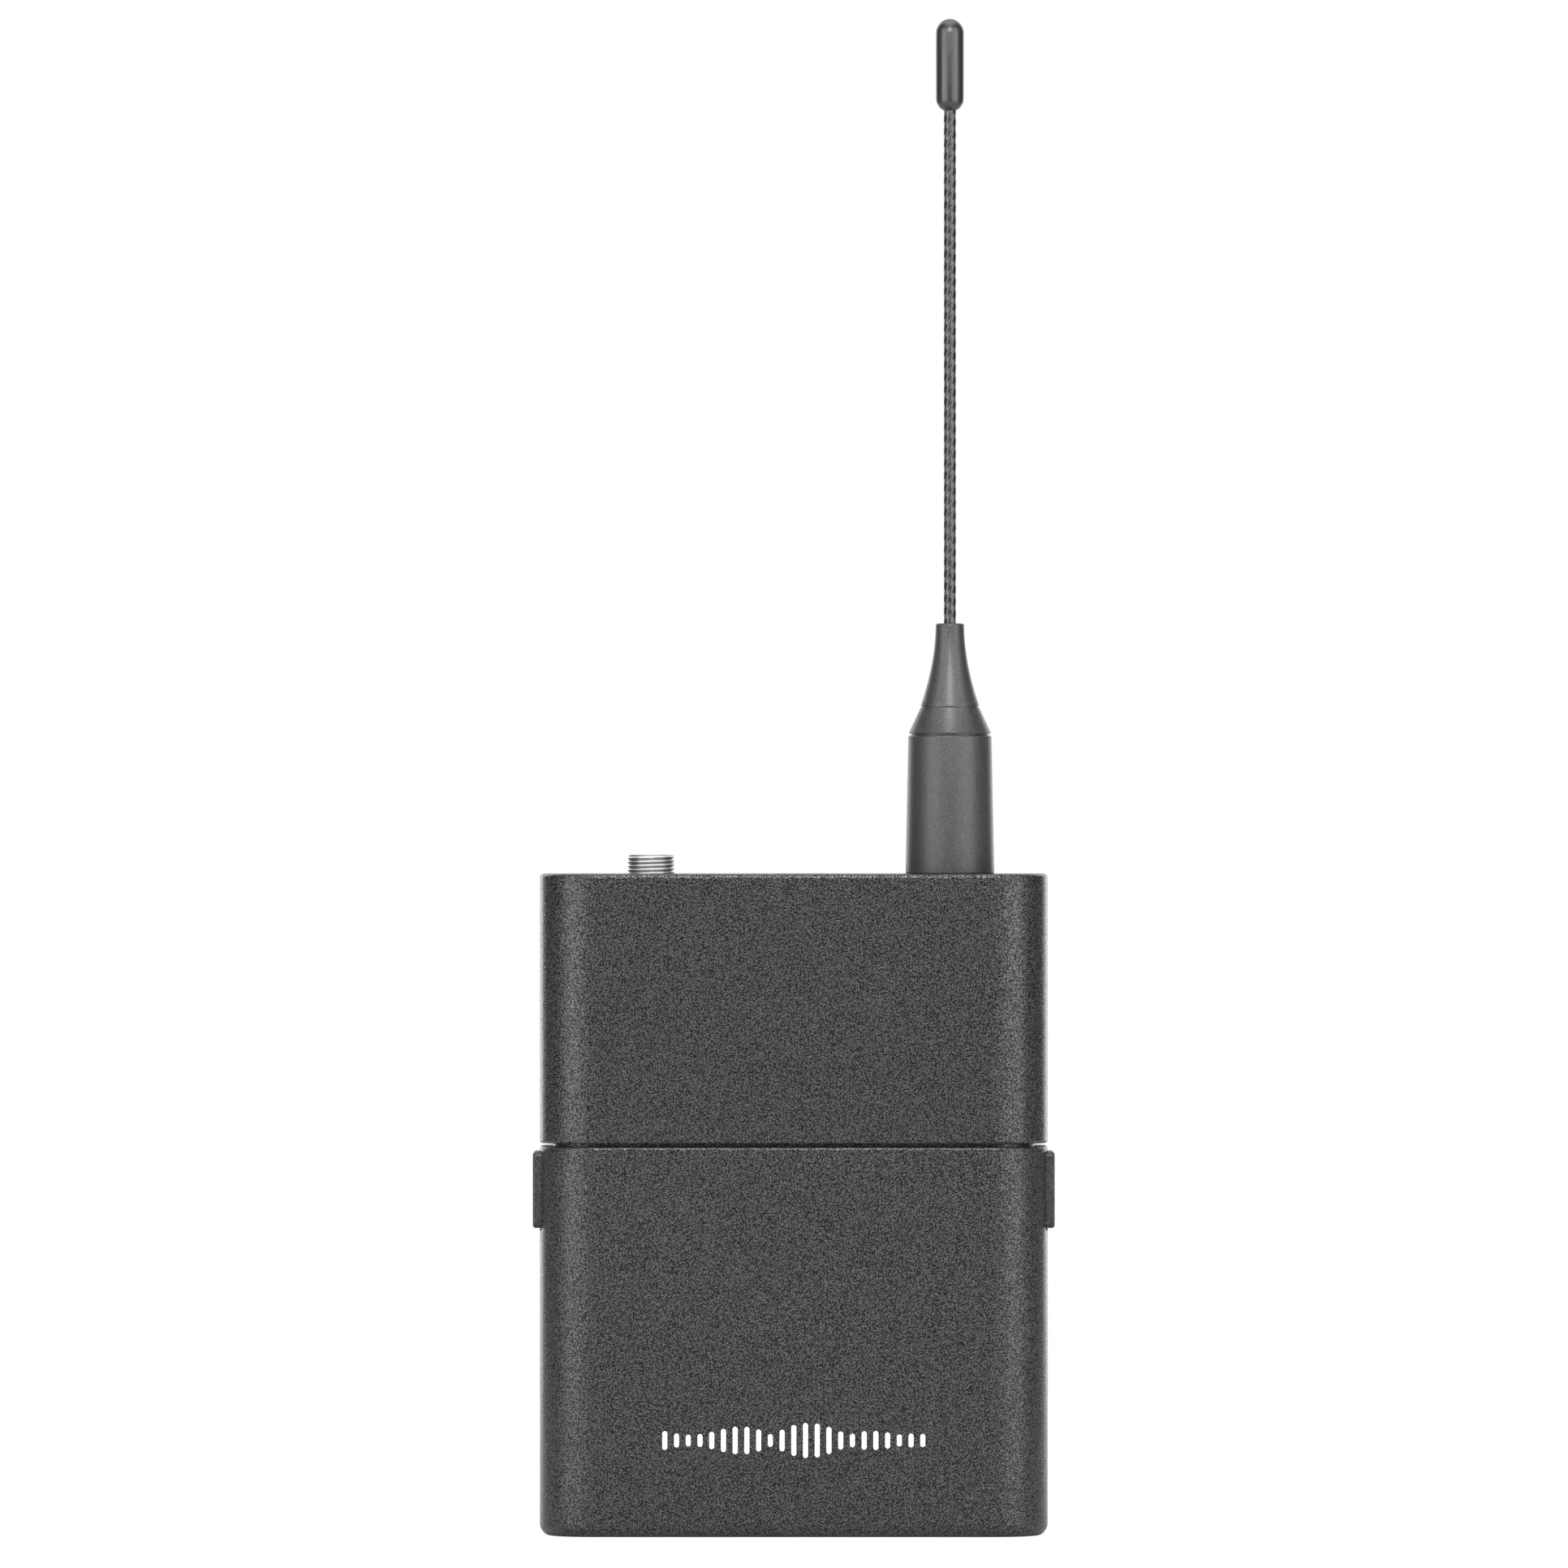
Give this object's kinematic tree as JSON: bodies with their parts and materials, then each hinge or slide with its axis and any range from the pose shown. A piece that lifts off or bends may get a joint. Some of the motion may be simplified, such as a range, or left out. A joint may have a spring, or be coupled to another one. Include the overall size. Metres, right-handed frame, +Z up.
{
  "type": "wireless bodypack transmitter",
  "caption": "Belt-worn wireless audio transmitter with a flip-down battery cover, side catches, a locking mini-jack and a flexible whip antenna.",
  "frame": {"origin": "middle of the case's base", "axes": "+X to the right as seen from the front, +Y towards the back, +Z up along the antenna"},
  "size_m": [0.0658, 0.0267, 0.1911],
  "materials": {
    "case_plastic": "fine spark-eroded grain",
    "black_plastic": "satin",
    "red_plastic": "satin",
    "grey_plastic": "satin",
    "board": "solder mask",
    "steel": "plated",
    "nickel": "bright nickel",
    "clip_wire": "polished spring wire",
    "brass": "bright",
    "antenna_rubber": "satin rubber",
    "coated_rope": "plastic-coated steel rope",
    "cell_sleeve": "printed sleeve",
    "foam": "closed-cell foam",
    "clear_plastic": "clear, diffusing",
    "plate": "satin foil"
  },
  "bodies": {
    "case": {"head_housing": "case_plastic", "rear_shell": "case_plastic", "chassis": "black_plastic", "key_fascia": "black_plastic", "jack_body": "black_plastic", "power_switch": "black_plastic", "sync_switch": "black_plastic", "main_board": "board", "key_board": "board", "rf_shield": "steel", "antenna_nut": "steel", "case_screws": "steel", "board_screws": "steel", "hinge_pins": "steel", "mute_switch_body": "steel", "battery_spring_upper": "steel", "battery_spring_lower": "steel", "jack_socket": "nickel", "battery_plus_contacts": "nickel", "antenna_ferrule": "brass", "jack_contacts": "brass", "antenna_contact": "brass", "antenna_base": "antenna_rubber", "antenna_ring": "antenna_rubber", "antenna_boot": "antenna_rubber", "antenna_tip": "antenna_rubber", "antenna_whip": "coated_rope", "battery_upper": "cell_sleeve", "battery_lower": "cell_sleeve", "link_light_pipe": "clear_plastic", "data_light_pipe": "clear_plastic", "status_leds": "clear_plastic", "type_plate": "plate"},
    "cover": {"battery_cover": "case_plastic", "cover_pad": "foam"},
    "latch_left": {"catch_left": "black_plastic", "catch_spring_left": "steel"},
    "latch_right": {"catch_right": "black_plastic", "catch_spring_right": "steel"},
    "mute_knob": {"mute_slider": "black_plastic"},
    "power_key": {"power_button": "red_plastic"},
    "sync_key": {"sync_button": "grey_plastic"},
    "clip": {"belt_clip": "clip_wire"}
  },
  "joints": [
    {"name": "cover_hinge", "type": "hinge", "parent": "case", "child": "cover", "pos_m": [0, -0.007, 0.0035], "axis": [1, 0, 0], "range_deg": [0, 90]},
    {"name": "catch_press_left", "type": "slide", "parent": "case", "child": "latch_left", "axis": [1, 0, 0], "range_m": [0, 0.001], "stiffness_N_per_m": 3000, "springref_m": -0.0005, "deforming": ["catch_spring_left"]},
    {"name": "catch_press_right", "type": "slide", "parent": "case", "child": "latch_right", "axis": [-1, 0, 0], "range_m": [0, 0.001], "stiffness_N_per_m": 3000, "springref_m": -0.0005, "deforming": ["catch_spring_right"]},
    {"name": "mute_slide", "type": "slide", "parent": "case", "child": "mute_knob", "axis": [1, 0, 0], "range_m": [0, 0.002]},
    {"name": "power_press", "type": "slide", "parent": "case", "child": "power_key", "axis": [0, 1, 0], "range_m": [0, 0.0003], "stiffness_N_per_m": 3000},
    {"name": "sync_press", "type": "slide", "parent": "case", "child": "sync_key", "axis": [0, 1, 0], "range_m": [0, 0.0003], "stiffness_N_per_m": 3000},
    {"name": "clip_pivot", "type": "hinge", "parent": "case", "child": "clip", "pos_m": [0, 0.0132, 0.066], "axis": [1, 0, 0], "range_deg": [0, 12], "stiffness_Nm_per_rad": 2.7}
  ]
}
